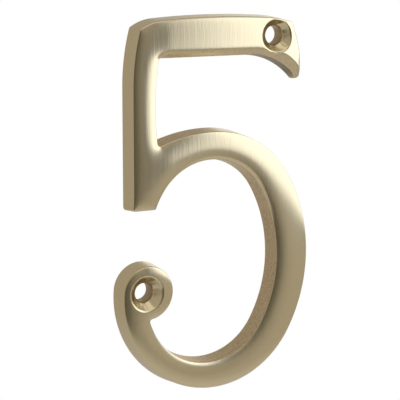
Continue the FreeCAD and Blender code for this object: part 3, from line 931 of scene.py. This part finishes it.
object_place = node("ShaderNodeTexCoord").outputs["Object"]
# The skin attribute: cast skin up to 1, painted shade past 1
kept_skin_and_shade = node("ShaderNodeAttribute", attribute_name="skin_and_shade").outputs["Fac"]
upright = node("ShaderNodeMapping", {"Vector": object_place, "Scale": DRAWN_OUT}).outputs["Vector"]
fine_strokes = noise(upright, FINE_SCALE, DETAIL)
broad_strokes = noise(upright, BROAD_SCALE, DETAIL)
grain = noise(object_place, GRAIN_SCALE, GRAIN_DETAIL)
patches = noise(object_place, PATCH_SCALE, DETAIL)
print("patterns of the finish made with", len(nodes), "nodes")

# %% [markdown]
# One material makes all the finishes and mixes them by the skin. Rubbed metal is bright, with strokes. The
# casting skin is browner and rougher, with pits and darker grains, and a dark painted shade covers it where
# the value passes 1, under the flag and in the bores.
# The cut countersinks have an even gloss and no strokes.

# %% Finish of the metal
RUBBED = (0.88, 0.76, 0.465, 1)
CAST = (0.82, 0.665, 0.415, 1)
DARK_GRAIN = (0.62, 0.49, 0.30, 1)
# Painted shade under the flag and in the bores, not a colour of the metal
PAINTED_SHADE = (0.2, 0.165, 0.125, 1)
GRAIN_RANGE = (0.35, 0.6)
PAINTED_SHADE_RANGE = (1.0, 2.0)
RUBBED_ROUGHNESS = (0.165, 0.245)
CAST_ROUGHNESS = (0.405, 0.545)
CUT_ROUGHNESS = 0.23
STROKES_END = 0.4
FINE_STRENGTH, FINE_DEPTH = 0.16, 0.03 * MM
BROAD_STRENGTH, BROAD_DEPTH = 0.24, 0.03 * MM
PIT_STRENGTH, PIT_DEPTH = 0.5, 0.12 * MM

cast_colour = blend(spread(grain, *GRAIN_RANGE), DARK_GRAIN, CAST, "RGBA")
clean_colour = blend(kept_skin_and_shade, RUBBED, cast_colour, "RGBA")
# Past a skin of 1 the colour blends towards painted shade
colour = blend(spread(kept_skin_and_shade, *PAINTED_SHADE_RANGE), clean_colour, PAINTED_SHADE, "RGBA")
rubbed_rough = spread(fine_strokes, 0.0, 1.0, *RUBBED_ROUGHNESS)
cast_rough = spread(patches, 0.0, 1.0, *CAST_ROUGHNESS)
rough = blend(spread(kept_skin_and_shade, CONE_SKIN, 0.0), CUT_ROUGHNESS, blend(kept_skin_and_shade, rubbed_rough, cast_rough))
bare = spread(reckon("ABSOLUTE", kept_skin_and_shade), 0.0, STROKES_END, 1.0, 0.0)
reliefs = ((fine_strokes, bare, FINE_STRENGTH, FINE_DEPTH),
           (broad_strokes, bare, BROAD_STRENGTH, BROAD_DEPTH),
           (grain, kept_skin_and_shade, PIT_STRENGTH, PIT_DEPTH))
# Each relief starts from the normal that the one before it leaves
carried = {}
for height, share, strength, depth in reliefs:
    relief = {"Height": height, "Strength": reckon("MULTIPLY", share, strength), "Distance": depth}
    carried = {"Normal": node("ShaderNodeBump", {**relief, **carried}).outputs[0]}
shader = nodes["Principled BSDF"]
shader.inputs["Metallic"].default_value = 1.0
links.new(colour, shader.inputs["Base Color"])
links.new(rough, shader.inputs["Roughness"])
links.new(carried["Normal"], shader.inputs["Normal"])
mesh.materials.append(brass)
print("satin brass of", len(nodes), "nodes")

# %% [markdown]
# The camera stands a little left of straight ahead and a little above, near enough that the left walls show.
# Its frame is square, and a picture of 400 pixels at a lens of 1600 pixels gives the frame's angle.

# %% Camera
AZIMUTH, ELEVATION = math.radians(-28), math.radians(9.7)
DISTANCE = 324
NEAREST = 10
TARGET = np.array([-0.45, 0, -8.0])
HALF_FRAME, LENS = 200, 1600


def toward(azimuth, elevation):
    """A direction away from the numeral, right of straight ahead by one angle and up by the other.

    With a and e these angles, it is (sin a cos e, -cos a cos e, sin e).
    """
    return np.array([math.sin(azimuth) * math.cos(elevation), -math.cos(azimuth) * math.cos(elevation),
                     math.sin(elevation)])


scene = bpy.context.scene
scene.view_settings.view_transform = "Standard"
sight = -toward(AZIMUTH, ELEVATION)
camera_data = bpy.data.cameras.new("camera")
camera_data.sensor_fit = "HORIZONTAL"
camera_data.angle = 2 * math.atan(HALF_FRAME / LENS)
camera_data.clip_start = NEAREST * MM
camera = bpy.data.objects.new("camera", camera_data)
camera.location = (TARGET - sight * DISTANCE) * MM
camera.rotation_euler = (math.pi / 2 - ELEVATION, 0, AZIMUTH)
scene.collection.objects.link(camera)
scene.camera = camera
print("camera at", [round(value / MM, 1) for value in camera.location], "mm")

# %% [markdown]
# Metal shows little but what it mirrors, so the room is part of its look. It is an even warm grey, darker in
# front and below where the camera stands, which gives the face its dark runs. The change is soft and shows no
# edge.

# %% The room
ROOM, FRONT = 0.39, 0.1
ROOM_TINT = (1, 0.935, 0.88, 1)
FRONT_AZIMUTH, FRONT_ELEVATION = math.radians(-20), math.radians(-16)
FRONT_FADE = (0.62, 0.94)

world = bpy.data.worlds.new("studio")
scene.world = world
nodes, links = net(world)
looked_at = node("ShaderNodeTexCoord").outputs["Generated"]
facing = dot(looked_at, toward(FRONT_AZIMUTH, FRONT_ELEVATION))
room_light = spread(facing, *FRONT_FADE, ROOM, FRONT, "SMOOTHSTEP")
links.new(room_light, nodes["Background"].inputs["Strength"])
nodes["Background"].inputs["Color"].default_value = ROOM_TINT
print("room at", ROOM, "and its front at", FRONT)

# %% [markdown]
# One large soft panel stands on the right. Its glow fades towards its left edge and its foot, as cloth in
# front of a lamp does, so on the flat flag it makes a long slow change from dark to light, and on the tight
# curves a quick one. It is a sheet that mirrors see and the camera doesn't.

# %% Soft panel
PANEL_LEFT, PANEL_RIGHT = math.radians(17), math.radians(95)
PANEL_DISTANCE = 170
PANEL_LOW, PANEL_HIGH = -34, 127
PANEL_LIGHT, PANEL_TINT = 1.5, (0.95, 0.99, 1.18, 1)
LEFT_FADE, FOOT_FADE = 57, 15
SKYWARD = np.array([0, 0, 1.0])


def on_panel(azimuth, height):
    """A point in mm on the panel's circle, right of straight ahead by an angle, and at a height."""
    return toward(azimuth, 0) * PANEL_DISTANCE + SKYWARD * height


def sheet(name, corners):
    """A four-sided sheet through corners in mm, for the stage, with a material of its own."""
    flat = bpy.data.meshes.new(name)
    flat.from_pydata(np.array(corners) * MM, [], [[0, 1, 2, 3]])
    flat.materials.append(bpy.data.materials.new(name))
    made = bpy.data.objects.new(name, flat)
    scene.collection.objects.link(made)
    return made


def soft_edge(place, start, direction, fade):
    """A smooth step from 0 to 1 over a fade in mm, of how far a place lies from start in a direction."""
    begin = float(np.dot(start, direction))
    return spread(dot(place, direction), begin * MM, (begin + fade) * MM, curve="SMOOTHSTEP")


near_foot, far_foot = on_panel(PANEL_LEFT, PANEL_LOW), on_panel(PANEL_RIGHT, PANEL_LOW)
near_top, far_top = on_panel(PANEL_LEFT, PANEL_HIGH), on_panel(PANEL_RIGHT, PANEL_HIGH)
panel = sheet("panel", [near_foot, far_foot, far_top, near_top])
panel.visible_camera = False
nodes, links = net(panel.active_material)
panel_place = node("ShaderNodeTexCoord").outputs["Object"]
inward = (far_foot - near_foot) / np.linalg.norm(far_foot - near_foot)
from_left = soft_edge(panel_place, near_foot, inward, LEFT_FADE)
from_foot = soft_edge(panel_place, near_foot, SKYWARD, FOOT_FADE)
panel_light = reckon("MULTIPLY", reckon("MULTIPLY", from_left, from_foot), PANEL_LIGHT)
glow = node("ShaderNodeEmission", {"Color": PANEL_TINT, "Strength": panel_light}).outputs[0]
links.new(glow, nodes["Material Output"].inputs["Surface"])
print("panel of", round(np.linalg.norm(far_foot - near_foot)), "by", PANEL_HIGH - PANEL_LOW, "mm")

# %% [markdown]
# A lamp overhead lights the tops of the walls and the floor. Blender asks for its power in watts, which for a
# flat lamp is the brightness it shows times its area times pi.

# %% Lamp overhead
LAMP_PLACE = (30, -130, 240)
LAMP_SIZE = (220, 160)
LAMP_TILT = math.radians(7)
LAMP_LIGHT, LAMP_TINT = 0.4, (1, 0.98, 0.95)

lamp_data = bpy.data.lights.new("overhead", "AREA")
lamp_data.shape = "RECTANGLE"
lamp_data.size, lamp_data.size_y = np.array(LAMP_SIZE) * MM
lamp_data.energy = LAMP_LIGHT * math.pi * lamp_data.size * lamp_data.size_y
lamp_data.color = LAMP_TINT
lamp = bpy.data.objects.new("overhead", lamp_data)
lamp.location = np.array(LAMP_PLACE) * MM
lamp.rotation_euler = (LAMP_TILT, 0, 0)
scene.collection.objects.link(lamp)
print("lamp of", round(lamp_data.energy, 4), "W")

# %% [markdown]
# The floor is a pale sheet well below the numeral. The backdrop stands square to the camera, further behind
# the numeral than the camera is in front, so that it hides nothing in a view from behind. It is white to the
# eye and to mirrors by its own glow.

# %% Floor and backdrop
PALE = (0.95, 0.95, 0.95, 1)
MATT = 0.9
FLOOR_LEVEL, FLOOR_HALF = -95, 140
BACKDROP_BEHIND, BACKDROP_HALF = 400, 200
SQUARE = np.array([(-1, -1), (1, -1), (1, 1), (-1, 1)])


def pale(surface):
    """A sheet's own shader, made plain, matt and pale."""
    surface.inputs["Base Color"].default_value = PALE
    surface.inputs["Roughness"].default_value = MATT
    surface.inputs["Specular IOR Level"].default_value = 0.0
    return surface.outputs[0]


sideways = np.array([math.cos(AZIMUTH), math.sin(AZIMUTH), 0])
onward = np.array([-math.sin(AZIMUTH), math.cos(AZIMUTH), 0])
floor_middle = SKYWARD * FLOOR_LEVEL
floor = sheet("floor", floor_middle + SQUARE * FLOOR_HALF @ np.stack([sideways, onward]))
nodes, links = net(floor.active_material)
pale(nodes["Principled BSDF"])
behind = TARGET + sight * BACKDROP_BEHIND
across_sight = np.stack([sideways, np.cross(sideways, sight)])
backdrop = sheet("backdrop", behind + SQUARE * BACKDROP_HALF @ across_sight)
nodes, links = net(backdrop.active_material)
path_of_light = node("ShaderNodeLightPath").outputs
seen = path_of_light["Is Camera Ray"]
for kind in ("Is Glossy Ray", "Is Transmission Ray"):
    seen = reckon("MAXIMUM", seen, path_of_light[kind])
white = node("ShaderNodeEmission").outputs[0]
mixed = node("ShaderNodeMixShader", {0: seen, 1: pale(nodes["Principled BSDF"]), 2: white}).outputs[0]
links.new(mixed, nodes["Material Output"].inputs["Surface"])
print("floor at", FLOOR_LEVEL, "mm and backdrop", BACKDROP_BEHIND, "mm behind")
